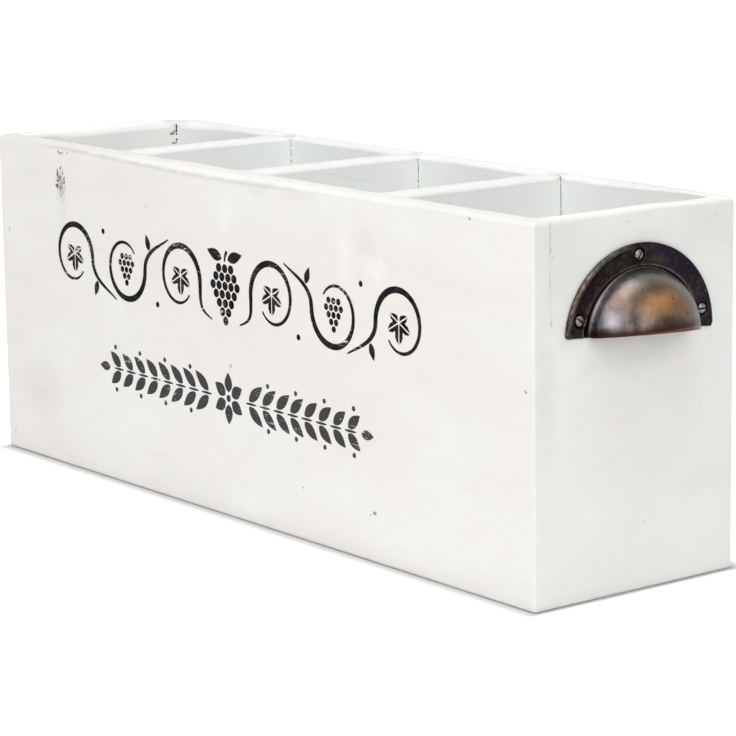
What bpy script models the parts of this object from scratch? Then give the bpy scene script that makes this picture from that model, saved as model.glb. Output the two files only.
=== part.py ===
"""Long painted wooden box with four bottle cells and a cast cup pull on each end.

Metres. +X runs along the box, -Y is its front, +Z is up, and the origin is the middle of its underside.
"""

import math

import bmesh
import bpy
from mathutils import Euler, Vector

# Box
LENGTH = 0.512
DEPTH = 0.138
HEIGHT = 0.200
SIDE_THICKNESS = 0.011
END_THICKNESS = 0.0105
BOTTOM_THICKNESS = 0.010
DIVIDER_THICKNESS = 0.012
CELLS = 4

# Rounding, as sanded after the boards were nailed together
RIM_RADIUS = 0.0038
CORNER_RADIUS = 0.0015
LOWER_EDGE_RADIUS = 0.0008
CELL_CORNER_RADIUS = 0.0030
RIM_STEPS = 4
MOST_RIM_SHARE = 0.42

# Fits
GAP = 0.0003
OVERRUN = 0.004

# Panel pins
PIN_LENGTH = 0.030
PIN_RADIUS = 0.0007
PIN_HEAD_RADIUS = 0.0010
PIN_HEAD_THICKNESS = 0.0007
PIN_TIP = 0.0020
PIN_SET = 0.0005
PIN_SIDES = 8
END_PIN_HEIGHT_SHARES = (0.14, 0.57, 0.88)
DIVIDER_PIN_HEIGHT_SHARES = (0.14, 0.57)
BOTTOM_PIN_DEPTH_SHARES = (-0.26, 0.26)

# Cup pull: a half-moon flange with a hood that is a quarter of an ellipsoid
FLANGE_HALF_WIDTH = 0.0505
FLANGE_HEIGHT = 0.0465
FLANGE_THICKNESS = 0.0024
FLANGE_EDGE = 0.0010
FLANGE_SIDES = 56
HOOD_HALF_WIDTH = 0.0346
HOOD_HEIGHT = 0.0332
HOOD_REACH = 0.0251
HOOD_CENTRE = 0.0018
HOOD_WALL = 0.0018
HOOD_SIDES = 34
HOOD_RINGS = 21
LIP_RISE = 0.0036
LIP_START = 0.0004
PULL_DROP = 0.0175
PULL_SHIFT = 0.0015
RIGHT_PULL_TILT = math.radians(-2.8)
LEFT_PULL_TILT = math.radians(0.8)

# Screws of the cup pull
SCREW_LENGTH = 0.0100
SCREW_RADIUS = 0.0014
SCREW_HEAD_RADIUS = 0.0028
SCREW_DOME = 0.0011
SCREW_TIP = 0.0022
SCREW_SINK = 0.0006
SCREW_SIDES = 16
SLOT_WIDTH = 0.0007
SLOT_DEPTH = 0.0008
COUNTERSINK_RADIUS = 0.0038
SCREW_BAND_SHARE = 0.55
SCREWS = {
    "top": (math.radians(95), math.radians(60)),
    "front": (math.radians(167), math.radians(-35)),
    "back": (math.radians(14), math.radians(5)),
}

# Worked out from the above
HALF_LENGTH = LENGTH / 2
HALF_DEPTH = DEPTH / 2
INSIDE_LENGTH = LENGTH - 2 * END_THICKNESS
INSIDE_DEPTH = DEPTH - 2 * SIDE_THICKNESS
CELL_LENGTH = (INSIDE_LENGTH - (CELLS - 1) * DIVIDER_THICKNESS) / CELLS
CELL_PITCH = CELL_LENGTH + DIVIDER_THICKNESS
THINNEST_RIM = min(SIDE_THICKNESS, END_THICKNESS, DIVIDER_THICKNESS)
RIM = min(RIM_RADIUS, MOST_RIM_SHARE * THINNEST_RIM)
PULL_BASE = HEIGHT - PULL_DROP - FLANGE_HEIGHT

WHITE_PAINT = (0.86, 0.86, 0.82)
AGED_BRONZE = (0.16, 0.10, 0.07)
ZINC_STEEL = (0.55, 0.55, 0.53)
PIN_STEEL = (0.40, 0.40, 0.39)


def clear_scene():
    for obj in list(bpy.data.objects):
        bpy.data.objects.remove(obj, do_unlink=True)


def new_collection(name, hidden):
    found = bpy.data.collections.new(name)
    found.hide_render = hidden
    bpy.context.scene.collection.children.link(found)
    return found


def material(name, colour, roughness, metallic):
    made = bpy.data.materials.new(name)
    made.use_nodes = True
    shader = made.node_tree.nodes["Principled BSDF"]
    shader.inputs["Base Color"].default_value = (*colour, 1)
    shader.inputs["Roughness"].default_value = roughness
    shader.inputs["Metallic"].default_value = metallic
    return made


def add_object(name, mesh, collection, finish=None):
    obj = bpy.data.objects.new(name, mesh)
    collection.objects.link(obj)
    if finish:
        mesh.materials.append(finish)
    else:
        obj.hide_render = True
        obj.display_type = "WIRE"
    return obj


def mesh_from(name, shape):
    mesh = bpy.data.meshes.new(name)
    shape.to_mesh(mesh)
    shape.free()
    return mesh


def block(name, low, high, collection, finish=None):
    """A box from its low corner to its high corner, with its place in its mesh."""
    low, high = Vector(low), Vector(high)
    shape = bmesh.new()
    bmesh.ops.create_cube(shape, size=1)
    bmesh.ops.scale(shape, vec=high - low, verts=shape.verts)
    bmesh.ops.translate(shape, vec=(low + high) / 2, verts=shape.verts)
    return add_object(name, mesh_from(name, shape), collection, finish)


def turned(name, profile, sides, collection, finish=None):
    """A solid turned about Z, from (radius, height) points that run down its outer side."""
    mesh = bpy.data.meshes.new(name)
    links = [(i, i + 1) for i in range(len(profile) - 1)]
    mesh.from_pydata([(radius, 0, height) for radius, height in profile], links, [])
    obj = add_object(name, mesh, collection, finish)
    turn = obj.modifiers.new("turn", "SCREW")
    turn.steps = sides
    turn.render_steps = sides
    turn.use_merge_vertices = True
    turn.merge_threshold = 0.00001
    return obj


def cut(obj, cutter, operation="DIFFERENCE"):
    """Joins or cuts obj with one object, or with all objects of a collection."""
    step = obj.modifiers.new(f"{operation.lower()}_{cutter.name}", "BOOLEAN")
    step.operation = operation
    step.solver = "EXACT"
    if isinstance(cutter, bpy.types.Collection):
        step.operand_type = "COLLECTION"
        step.collection = cutter
    else:
        step.object = cutter


def shade_round(obj):
    obj.data.shade_smooth()


# Cutters that round the box

def outside_shape(cutters):
    """The whole box's outer form, which trims every wall board to size and rounds it."""
    shape = block(
        "outside_shape",
        (-HALF_LENGTH, -HALF_DEPTH, 0),
        (HALF_LENGTH, HALF_DEPTH, HEIGHT),
        cutters,
    )
    mesh = shape.data
    weights = mesh.attributes.new("bevel_weight_edge", "FLOAT", "EDGE")
    for edge in mesh.edges:
        ends = [mesh.vertices[i].co for i in edge.vertices]
        if min(end.z for end in ends) > HEIGHT / 2:
            radius = RIM
        elif max(end.z for end in ends) > HEIGHT / 2:
            radius = CORNER_RADIUS
        else:
            radius = LOWER_EDGE_RADIUS
        weights.data[edge.index].value = radius / RIM
    rounding = shape.modifiers.new("rounding", "BEVEL")
    rounding.limit_method = "WEIGHT"
    rounding.width = RIM
    rounding.segments = RIM_STEPS
    return shape


def rim_cutter(name, centre_x, cutters):
    """The flare that rounds the top inner edges round one cell, fuller in the cell's four corners."""
    relief = GAP / 4
    shape = bmesh.new()
    bmesh.ops.create_grid(shape, x_segments=1, y_segments=1, size=1 / 2)
    width = CELL_LENGTH - 2 * relief
    depth = INSIDE_DEPTH - 2 * relief
    bmesh.ops.scale(shape, vec=(width, depth, 1), verts=shape.verts)
    bmesh.ops.bevel(
        shape,
        geom=list(shape.verts),
        offset=CELL_CORNER_RADIUS,
        segments=RIM_STEPS,
        profile=0.5,
        affect="VERTICES",
    )
    bottom = shape.faces[:][0]
    face = bottom
    levels = [(0, -OVERRUN)]
    for i in range(RIM_STEPS + 1):
        angle = math.pi / 2 * i / RIM_STEPS
        levels.append((RIM * (1 - math.cos(angle)), RIM * math.sin(angle)))
    levels.append((RIM + relief, RIM + OVERRUN))
    start = HEIGHT - RIM
    bmesh.ops.translate(shape, vec=(0, 0, start + levels[0][1]), verts=shape.verts)
    spread, level = levels[0]
    for next_spread, next_level in levels[1:]:
        made = bmesh.ops.extrude_face_region(shape, geom=[face])["geom"]
        corners = [item for item in made if isinstance(item, bmesh.types.BMVert)]
        if face is not bottom:
            bmesh.ops.delete(shape, geom=[face], context="FACES_ONLY")
        face = [item for item in made if isinstance(item, bmesh.types.BMFace)][0]
        bmesh.ops.translate(shape, vec=(0, 0, next_level - level), verts=corners)
        growth = (
            (width + 2 * next_spread) / (width + 2 * spread),
            (depth + 2 * next_spread) / (depth + 2 * spread),
            1,
        )
        bmesh.ops.scale(shape, vec=growth, verts=corners)
        spread, level = next_spread, next_level
    bmesh.ops.translate(shape, vec=(centre_x, 0, 0), verts=shape.verts)
    bmesh.ops.recalc_face_normals(shape, faces=shape.faces)
    return add_object(name, mesh_from(name, shape), cutters)


# Panel pins

def pin_profile(clearance):
    """Down the outer side of a pin, or of the hole that holds it with some clearance."""
    head_top = OVERRUN if clearance else -PIN_SET
    underside = -PIN_SET - PIN_HEAD_THICKNESS - clearance
    return (
        (0, head_top),
        (PIN_HEAD_RADIUS + clearance, head_top),
        (PIN_HEAD_RADIUS + clearance, underside),
        (PIN_RADIUS + clearance, underside),
        (PIN_RADIUS + clearance, PIN_TIP - PIN_LENGTH - PIN_SET),
        (0, -PIN_LENGTH - PIN_SET - clearance),
    )


def panel_pin(name, place, outward, parts, holes, finish):
    """A pin driven in at a point of an outer face, against the outward direction, and its hole."""
    turn = Vector(outward).to_track_quat("Z", "Y").to_euler()
    for obj in (
        turned(name, pin_profile(0), PIN_SIDES, parts, finish),
        turned(name + "_hole", pin_profile(GAP), PIN_SIDES, holes),
    ):
        obj.location = place
        obj.rotation_euler = turn


def pin_places():
    """Every pin's name, the point where its head is, and the outward direction there."""
    end_x = HALF_LENGTH - END_THICKNESS / 2
    columns = [("left_end", -end_x, END_PIN_HEIGHT_SHARES), ("right_end", end_x, END_PIN_HEIGHT_SHARES)]
    for i in range(CELLS - 1):
        x = (i + 1 - CELLS / 2) * CELL_PITCH
        columns.append((f"divider_{i + 1}", x, DIVIDER_PIN_HEIGHT_SHARES))
    for side, sign in (("front", -1), ("back", 1)):
        for column, x, shares in columns:
            for number, share in enumerate(shares, 1):
                yield f"pin_{side}_{column}_{number}", (x, sign * HALF_DEPTH, share * HEIGHT), (0, sign, 0)
        for number in range(CELLS):
            x = (number - (CELLS - 1) / 2) * CELL_PITCH
            place = (x, sign * HALF_DEPTH, BOTTOM_THICKNESS / 2)
            yield f"pin_{side}_bottom_{number + 1}", place, (0, sign, 0)
    for side, sign in (("left", -1), ("right", 1)):
        for number, share in enumerate(BOTTOM_PIN_DEPTH_SHARES, 1):
            place = (sign * HALF_LENGTH, share * DEPTH, BOTTOM_THICKNESS / 2)
            yield f"pin_{side}_end_bottom_{number}", place, (sign, 0, 0)


# Boards

def boards(parts, cutters, holes, rim_cuts, finish):
    shape = outside_shape(cutters)
    inner_y = HALF_DEPTH - SIDE_THICKNESS
    inner_x = HALF_LENGTH - END_THICKNESS
    outer_x = HALF_LENGTH + OVERRUN
    outer_y = HALF_DEPTH + OVERRUN
    over = HEIGHT + OVERRUN
    end_y = inner_y - GAP
    walls = {
        "front_board": ((-outer_x, -outer_y, -OVERRUN), (outer_x, -inner_y, over)),
        "back_board": ((-outer_x, inner_y, -OVERRUN), (outer_x, outer_y, over)),
        "left_end_board": ((-outer_x, -end_y, -OVERRUN), (-inner_x, end_y, over)),
        "right_end_board": ((inner_x, -end_y, -OVERRUN), (outer_x, end_y, over)),
    }
    for name, (low, high) in walls.items():
        wall = block(name, low, high, parts, finish)
        cut(wall, shape, "INTERSECT")
        cut(wall, rim_cuts)
        cut(wall, holes)
    low = (-inner_x + GAP, -end_y, 0)
    high = (inner_x - GAP, end_y, BOTTOM_THICKNESS)
    cut(block("bottom_board", low, high, parts, finish), holes)
    for i, name in enumerate(("divider_left", "divider_middle", "divider_right")):
        x = (i + 1 - CELLS / 2) * CELL_PITCH
        low = (x - DIVIDER_THICKNESS / 2, -end_y, BOTTOM_THICKNESS + GAP)
        high = (x + DIVIDER_THICKNESS / 2, end_y, HEIGHT)
        divider = block(name, low, high, parts, finish)
        cut(divider, rim_cuts)
        cut(divider, holes)


# Cup pulls

def ellipsoid(name, half_width, height, reach, cutters, seat):
    """Centred on the middle of the flange's lower edge, inside its thickness: X out, Y along, Z up."""
    shape = bmesh.new()
    bmesh.ops.create_uvsphere(shape, u_segments=HOOD_SIDES, v_segments=HOOD_RINGS, radius=1)
    bmesh.ops.scale(shape, vec=(reach, half_width, height), verts=shape.verts)
    bmesh.ops.translate(shape, vec=(HOOD_CENTRE, 0, 0), verts=shape.verts)
    obj = add_object(name, mesh_from(name, shape), cutters)
    obj.parent = seat
    return obj


def flange(name, parts, finish, seat):
    """An elliptical plate with a rounded front edge. Its lower half is cut away later."""
    shape = bmesh.new()
    bmesh.ops.create_cone(
        shape,
        cap_ends=True,
        segments=FLANGE_SIDES,
        radius1=1,
        radius2=1,
        depth=FLANGE_THICKNESS,
    )
    bmesh.ops.rotate(shape, matrix=Euler((0, math.pi / 2, 0)).to_matrix(), verts=shape.verts)
    bmesh.ops.scale(shape, vec=(1, FLANGE_HALF_WIDTH, FLANGE_HEIGHT), verts=shape.verts)
    middle = GAP + (FLANGE_THICKNESS - GAP) / 2
    squeeze = (FLANGE_THICKNESS - GAP) / FLANGE_THICKNESS
    bmesh.ops.scale(shape, vec=(squeeze, 1, 1), verts=shape.verts)
    bmesh.ops.translate(shape, vec=(middle, 0, 0), verts=shape.verts)
    front = [e for e in shape.edges if min(v.co.x for v in e.verts) > middle]
    bmesh.ops.bevel(
        shape,
        geom=front,
        offset=FLANGE_EDGE,
        segments=2,
        profile=0.5,
        affect="EDGES",
    )
    obj = add_object(name, mesh_from(name, shape), parts, finish)
    obj.parent = seat
    return obj


def screw_profile(clearance):
    """Down the outer side of a screw from the top of its dome, or of its pilot hole."""
    rim = -SCREW_SINK
    neck = rim - (SCREW_HEAD_RADIUS - SCREW_RADIUS)
    tip = rim - SCREW_LENGTH
    if clearance:
        return (
            (0, neck),
            (SCREW_RADIUS + clearance, neck),
            (SCREW_RADIUS + clearance, tip + SCREW_TIP),
            (0, tip - clearance),
        )
    dome = []
    for i in range(4):
        angle = math.pi / 2 * i / 4
        dome.append((SCREW_HEAD_RADIUS * math.sin(angle), rim + SCREW_DOME * math.cos(angle)))
    return (
        *dome,
        (SCREW_HEAD_RADIUS, rim),
        (SCREW_RADIUS, neck),
        (SCREW_RADIUS, tip + SCREW_TIP),
        (0, tip),
    )


def countersink_profile():
    """A 45 degree countersink that keeps its clearance to the screw's head, over a clear hole."""
    hole = SCREW_RADIUS + GAP
    depth = COUNTERSINK_RADIUS - hole
    return (
        (0, OVERRUN),
        (COUNTERSINK_RADIUS, OVERRUN),
        (COUNTERSINK_RADIUS, 0),
        (hole, -depth),
        (hole, -FLANGE_THICKNESS - OVERRUN),
        (0, -FLANGE_THICKNESS - OVERRUN),
    )


def pull_screw(side, label, angle, slot_angle, parts, cutters, holes, seat, finish):
    """One slotted screw in the middle of the flange's band, with its pilot hole. Returns its countersink."""
    along = HOOD_HALF_WIDTH + (FLANGE_HALF_WIDTH - HOOD_HALF_WIDTH) * SCREW_BAND_SHARE
    up = HOOD_HEIGHT + (FLANGE_HEIGHT - HOOD_HEIGHT) * SCREW_BAND_SHARE
    place = (FLANGE_THICKNESS, along * math.cos(angle), up * math.sin(angle))
    name = f"{side}_pull_screw_{label}"
    screw = turned(name, screw_profile(0), SCREW_SIDES, parts, finish)
    pilot = turned(name + "_hole", screw_profile(GAP), SCREW_SIDES, holes)
    countersink = turned(name + "_countersink", countersink_profile(), SCREW_SIDES, cutters)
    floor = SCREW_DOME - SCREW_SINK - SLOT_DEPTH
    reach = SCREW_HEAD_RADIUS + OVERRUN
    low = (-reach, -SLOT_WIDTH / 2, floor)
    slot = block(name + "_slot", low, (reach, SLOT_WIDTH / 2, OVERRUN), cutters)
    cut(screw, slot)
    outward = Vector((1, 0, 0)).to_track_quat("Z", "Y").to_matrix()
    turn = (Euler((slot_angle, 0, 0)).to_matrix() @ outward).to_euler()
    for obj in (screw, pilot, countersink, slot):
        obj.parent = seat
        obj.location = place
        obj.rotation_euler = turn
    return countersink


def cup_pull(side, sign, tilt, parts, cutters, holes, bronze, steel):
    seat = bpy.data.objects.new(f"{side}_pull_seat", None)
    cutters.objects.link(seat)
    seat.location = (sign * HALF_LENGTH, sign * PULL_SHIFT, PULL_BASE)
    seat.rotation_euler = (0, 0, 0 if sign > 0 else math.pi)
    lean = bpy.data.objects.new(f"{side}_pull_lean", None)
    cutters.objects.link(lean)
    lean.parent = seat
    lean.rotation_euler = (tilt, 0, 0)

    span = FLANGE_HALF_WIDTH + OVERRUN
    pull = flange(f"{side}_cup_pull", parts, bronze, lean)
    below = block(f"{side}_below", (-OVERRUN, -span, -span), (FLANGE_THICKNESS + OVERRUN, span, 0), cutters)
    outer = ellipsoid(f"{side}_hood_outer", HOOD_HALF_WIDTH, HOOD_HEIGHT, HOOD_REACH, cutters, lean)
    behind = block(f"{side}_behind", (-span, -span, -span), (FLANGE_THICKNESS / 2, span, span), cutters)
    lip = block(f"{side}_under_lip", (-span, -span, -span), (span, span, 0), cutters)
    lip.location = (FLANGE_THICKNESS, 0, -LIP_START)
    lip.rotation_euler = (0, -math.atan2(LIP_RISE + LIP_START, HOOD_REACH), 0)
    inner = ellipsoid(
        f"{side}_hood_inner",
        HOOD_HALF_WIDTH - HOOD_WALL,
        HOOD_HEIGHT - HOOD_WALL,
        HOOD_REACH - HOOD_WALL,
        cutters,
        lean,
    )
    for obj in (below, behind, lip):
        obj.parent = lean
    cut(outer, behind)
    cut(outer, lip)
    cut(pull, outer, "UNION")
    cut(pull, inner)
    cut(pull, below)
    for label, (angle, slot_angle) in SCREWS.items():
        countersink = pull_screw(side, label, angle, slot_angle, parts, cutters, holes, lean, steel)
        cut(pull, countersink)
    shade_round(pull)


def build():
    clear_scene()
    parts = new_collection("wine_box", False)
    cutters = new_collection("cutters", True)
    rim_cuts = new_collection("rim_cuts", True)
    holes = new_collection("holes", True)
    paint = material("white_painted_wood", WHITE_PAINT, 0.55, 0)
    bronze = material("aged_bronze", AGED_BRONZE, 0.35, 1)
    steel = material("zinc_plated_steel", ZINC_STEEL, 0.4, 1)
    pin_steel = material("pin_steel", PIN_STEEL, 0.5, 1)

    for i in range(CELLS):
        rim_cutter(f"rim_cut_{i + 1}", (i - (CELLS - 1) / 2) * CELL_PITCH, rim_cuts)
    for name, place, outward in pin_places():
        panel_pin(name, place, outward, parts, holes, pin_steel)
    cup_pull("right", 1, RIGHT_PULL_TILT, parts, cutters, holes, bronze, steel)
    cup_pull("left", -1, LEFT_PULL_TILT, parts, cutters, holes, bronze, steel)
    boards(parts, cutters, holes, rim_cuts, paint)


build()
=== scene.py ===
import math

import bmesh
import bpy
from mathutils import Matrix, Vector, noise


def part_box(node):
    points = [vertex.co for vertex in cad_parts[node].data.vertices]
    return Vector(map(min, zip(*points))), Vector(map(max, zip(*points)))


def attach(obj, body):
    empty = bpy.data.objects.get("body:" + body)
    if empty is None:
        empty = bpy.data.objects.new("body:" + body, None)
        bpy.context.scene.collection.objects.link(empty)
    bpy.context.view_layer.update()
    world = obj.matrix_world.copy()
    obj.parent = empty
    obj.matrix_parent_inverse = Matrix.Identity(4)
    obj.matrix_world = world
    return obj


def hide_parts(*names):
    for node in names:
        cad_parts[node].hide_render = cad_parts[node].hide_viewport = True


# Looks for a white painted wooden wine box: four bottle cells, a cast cup pull on each end.
# Metres. +X runs along the box, -Y is its front, +Z is up.

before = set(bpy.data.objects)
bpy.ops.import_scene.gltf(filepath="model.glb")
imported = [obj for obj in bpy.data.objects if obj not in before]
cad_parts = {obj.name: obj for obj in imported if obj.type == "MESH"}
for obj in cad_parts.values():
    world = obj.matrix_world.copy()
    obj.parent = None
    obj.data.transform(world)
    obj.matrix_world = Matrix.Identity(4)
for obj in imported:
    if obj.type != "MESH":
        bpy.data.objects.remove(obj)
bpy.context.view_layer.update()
# Without a seed the noise vectors differ from run to run
noise.seed_set(7)

MM = 0.001
PER_MM = 1 / MM

# Boards
BACK_LOW, BACK_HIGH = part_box("back_board")
OUT_X = BACK_HIGH.x
OUT_Y = BACK_HIGH.y
IN_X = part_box("right_end_board")[0].x
IN_Y = BACK_LOW.y
TOP = BACK_HIGH.z
DIVIDERS = {name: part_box(name) for name in ("divider_left", "divider_middle", "divider_right")}
# The sides of the cells along the box, from the left
CELL_SIDES = [-IN_X, *(corner.x for box in DIVIDERS.values() for corner in box), IN_X]
# The front's face stands back by the room that the ornament's film takes
FRONT_Y = -OUT_Y + 0.06 * MM
FILM_FACE = 0.135 * MM
FILM_HALF = 0.12 * MM
EMBED = 0.4 * MM
BOTTOM_LIFT = 0.4 * MM
TOLERANCE = 0.01 * MM
SQUARE = 6.0 * MM
RIM_RADIUS = 3.6 * MM
CORNER_RADIUS = 1.5 * MM
LOWER_RADIUS = 2.0 * MM
ROUTER_RADIUS = 5.0 * MM
SANDED_TOP = 7.2 * MM
SANDED_LOW = 14 * MM
WIDE_RIM = 6.6 * MM
NARROW_RIM = 1.2 * MM
# Back corners of the cells that hand sanding took down, from the left end: reach and depth, millimetres
SANDED = ((13, 2.4), (8, 2.0), (8, 1.8), (7, 0.9), (5, 0.4))
# Longer hollows worn into the rims: place, reach and depth, millimetres
WORN = (((-256, 69), (34, 34), 1.5), ((252, 43), (13, 30), 1.2))
ROUND_STEPS = 7
# The router's cutter starts below the rounding, clears the cell's sides and ends above the rim
CUTTER_FOOT = 4 * MM
CUTTER_PLAY = 0.1 * MM
CUTTER_RISE = 3 * MM
# Waves left by sanding and paint: patch and height in millimetres, on all faces and near the rims
BROAD_WAVES = (60, 0.10)
RIM_WAVES = (13, 0.30)
CRACK_DEPTH = 1.2 * MM
# The open parts of each joint: from, to, half thickness and sometimes depth, in millimetres
CRACKS = {
    "left_end_board": (
        (198.6, 193.4, 0.5), (192.7, 190.9, 0.55), (187.7, 185.6, 0.6), (185.0, 184.2, 0.3), (182, 160, 0.13)
    ),
    "divider_left": (
        (198.8, 197.2, 0.20), (196.0, 192.3, 0.14), (191.4, 190.0, 0.28), (189.4, 187.0, 0.20),
        (186.0, 185.2, 0.12), (184.8, 183.2, 0.28), (182, 171, 0.13), (168, 150, 0.12),
    ),
    "divider_middle": (
        (198.0, 194.4, 0.16), (194.0, 187.8, 0.20), (186.9, 185.6, 0.18), (184.9, 183.2, 0.27),
        (181.5, 178.6, 0.15), (177, 158, 0.13),
    ),
    "divider_right": ((200.5, 195.6, 0.2, 2.4), (195.1, 181.0, 0.2), (180.5, 150, 0.16)),
}

# How far hand sanding carried the outer rounding down, in millimetres along each face
FRONT_ROUNDING = (
    (-256, 3.6), (-235, 2.8), (-182, 2.9), (-137, 3.9), (-82, 5.4), (-50, 5.9), (-6, 6.0), (38, 5.1),
    (120, 4.2), (199, 3.5), (256, 3.6),
)
BACK_ROUNDING = ((-256, 3.6), (-190, 3.0), (-90, 4.6), (20, 4.0), (130, 5.2), (210, 3.2), (256, 3.6))
END_ROUNDING = ((-69, 3.6), (-50, 3.6), (-35, 3.0), (0, 2.4), (34, 2.2), (52, 3.2), (69, 3.6))

# Cup pulls, as in the CAD
PULL_BASE = 136.0 * MM
PULL_SHIFT = 1.5 * MM
RIGHT_PULL_TILT = math.radians(-2.8)
LEFT_PULL_TILT = math.radians(0.8)
FLANGE_HALF_WIDTH = 50.5 * MM
FLANGE_HEIGHT = 46.5 * MM
HOOD_HALF_WIDTH = 34.6 * MM
HOOD_HEIGHT = 33.2 * MM
HOOD_REACH = 25.0 * MM
HOOD_CENTRE = 1.8 * MM
HOOD_WALL = 1.8 * MM
PULL_BACK = 0.3 * MM
FLANGE_CORNER = 2.4 * MM
LIP_RISE = 3.6 * MM
LIP_START = 2.4 * MM
LIP_DROP = 0.4 * MM
CASTING_VOXEL = 0.42 * MM
BEAD_HALF_WIDTH = 39.8 * MM
BEAD_HEIGHT = 35.1 * MM
SCREW_BAND_SHARE = 0.55
# Round each screw, a raised collar with its hole: radius, and from where to where out from the wall
COLLAR = (4.7 * MM, 0.8 * MM, 2.25 * MM)
SCREW_HOLE = (3.75 * MM, 1.0 * MM, 5 * MM)
HEAD_SIZE = (2.75 * MM, 2.75 * MM, 1.35 * MM)
HEAD_BACK = -0.4 * MM
HEAD_LIFT = 1.75 * MM
SLOT = ((0.42 * MM, -0.46 * MM, -4 * MM), (4 * MM, 0.46 * MM, 4 * MM))
# Each screw's place round the pull, and how its slot is turned
SCREWS = {
    "top": (math.radians(95), math.radians(60)),
    "front": (math.radians(167), math.radians(-35)),
    "back": (math.radians(14), math.radians(5)),
}

# Light and camera
AMBIENT = 0.36
FLOOR_LIFT = 0.36
# How far the floor's painted contact shadow reaches out from the box's foot, along X and along Y
CONTACT_REACH = (6 * MM, 15 * MM)
# Place, target, size in metres and power in watts
SOFTBOXES = {
    "front_softbox": ((0.4, -2.6, 1.9), (0, 0, 0.1), 2.0, 11),
    "low_front_softbox": ((1.2, -2.6, 0.9), (0, 0, 0.1), 1.6, 7.6),
    "overhead_softbox": ((0.2, -0.3, 1.6), (0, 0, 0.1), 1.2, 12),
    "leaning_softbox": ((0.3, -1.4, 1.8), (0, -0.2, 0.0), 1.4, 10),
    "end_softbox": ((2.8, -0.4, 1.4), (0, 0, 0.1), 1.6, 28),
    "back_softbox": ((-0.6, 2.2, 1.6), (0, 0, 0.1), 1.6, 8),
}
LENS = 145.39
LENS_PLACE = Vector((1.3536, -1.0127, 0.4155))
LOOK = Vector((-0.77877, 0.59621, -0.19509)).normalized()
ACROSS = Vector((0.61006, 0.79223, -0.01418)).normalized()


# Small tools

def linear(code):
    """An sRGB hex colour as linear red, green, blue and alpha."""
    found = []
    for i in (0, 2, 4):
        value = int(code[i:i + 2], 16) / 255
        found.append(value / 12.92 if value <= 0.04045 else ((value + 0.055) / 1.055) ** 2.4)
    return (*found, 1)


def deselect():
    if bpy.context.mode != "OBJECT":
        bpy.ops.object.mode_set(mode="OBJECT")
    bpy.ops.object.select_all(action="DESELECT")


def only(obj):
    deselect()
    obj.select_set(True)
    bpy.context.view_layer.objects.active = obj


def settle(obj):
    """Puts an object's place, turn and size into its mesh."""
    only(obj)
    bpy.ops.object.transform_apply(location=True, rotation=True, scale=True)
    return obj


def just_added(name):
    obj = bpy.context.object
    obj.name = name
    obj.data.name = name
    return settle(obj)


def wear(obj, finish):
    """Gives a piece one finish all over."""
    obj.data.materials.clear()
    obj.data.materials.append(finish)


def apply_modifier(obj, kind, **settings):
    only(obj)
    made = obj.modifiers.new(kind.lower(), kind)
    for key, value in settings.items():
        setattr(made, key, value)
    bpy.ops.object.modifier_apply(modifier=made.name)


def cube(name, low, high):
    low, high = Vector(low), Vector(high)
    deselect()
    bpy.ops.mesh.primitive_cube_add(size=1, location=(low + high) / 2, scale=high - low)
    return just_added(name)


def edit(obj, mode="EDGE", action="DESELECT"):
    only(obj)
    bpy.ops.object.mode_set(mode="EDIT")
    bpy.ops.mesh.select_mode(type=mode)
    bpy.ops.mesh.select_all(action=action)
    return bmesh.from_edit_mesh(obj.data)


def leave(facing_out=False):
    if facing_out:
        bpy.ops.mesh.select_all(action="SELECT")
        bpy.ops.mesh.normals_make_consistent(inside=False)
    bpy.ops.object.mode_set(mode="OBJECT")


def divide(obj, axis, spacing):
    """Cuts across every edge that runs along an axis, as loop cuts do."""
    size = obj.dimensions[axis]
    cuts = max(1, round(size / spacing)) - 1
    if cuts < 1:
        return
    shape = edit(obj)
    for edge in shape.edges:
        way = edge.verts[1].co - edge.verts[0].co
        edge.select_set(abs(way.normalized()[axis]) > 0.99)
    bmesh.update_edit_mesh(obj.data)
    bpy.ops.mesh.subdivide(number_cuts=cuts)
    leave()


def put(name, data):
    """A new object in the scene."""
    made = bpy.data.objects.new(name, data)
    bpy.context.scene.collection.objects.link(made)
    return made


def copy_of(obj, name):
    made = put(name, obj.data.copy())
    made.data.name = name
    return made


def remove(*objs):
    for obj in objs:
        bpy.data.objects.remove(obj, do_unlink=True)


def subtract(obj, cutter):
    apply_modifier(
        obj, "BOOLEAN", operation="DIFFERENCE", solver="EXACT", object=cutter, material_mode="TRANSFER"
    )


def between(table, at):
    """The value of a table of (place, value) at a place, eased from one to the next."""
    for (low, first), (high, second) in zip(table, table[1:]):
        if at <= high:
            share = min(1, max(0, (at - low) / (high - low)))
            return first + (second - first) * (1 - math.cos(math.pi * share)) / 2
    return table[-1][1]


# Material tools

def add(kind, *inputs, tree=None, **settings):
    """Adds a shader node, "Kind" or "Kind OPERATION", with its settings, and sets or links its inputs,
    given in order or as one dictionary. A node among them stands for its first output, and the new node
    joins the tree that they are in."""
    named = inputs[0] if inputs and isinstance(inputs[0], dict) else dict(enumerate(inputs))
    for value in named.values():
        if isinstance(value, (bpy.types.Node, bpy.types.NodeSocket)):
            tree = value.id_data
    kind, *operation = kind.split()
    made = tree.nodes.new("ShaderNode" + kind)
    if operation:
        made.operation = operation[0]
    for key, value in settings.items():
        if key == "stops":
            ramp = made.color_ramp
            while len(ramp.elements) < len(value):
                ramp.elements.new(0.5)
            for element, (position, colour) in zip(ramp.elements, value):
                element.position = position
                element.color = linear(colour) if isinstance(colour, str) else (colour, colour, colour, 1)
        elif key == "easing":
            made.color_ramp.interpolation = value
        else:
            setattr(made, key, value)
    for key, value in named.items():
        if isinstance(value, bpy.types.Node):
            value = value.outputs[0]
        if isinstance(value, bpy.types.NodeSocket):
            tree.links.new(value, made.inputs[key])
        else:
            made.inputs[key].default_value = value
    return made


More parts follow.
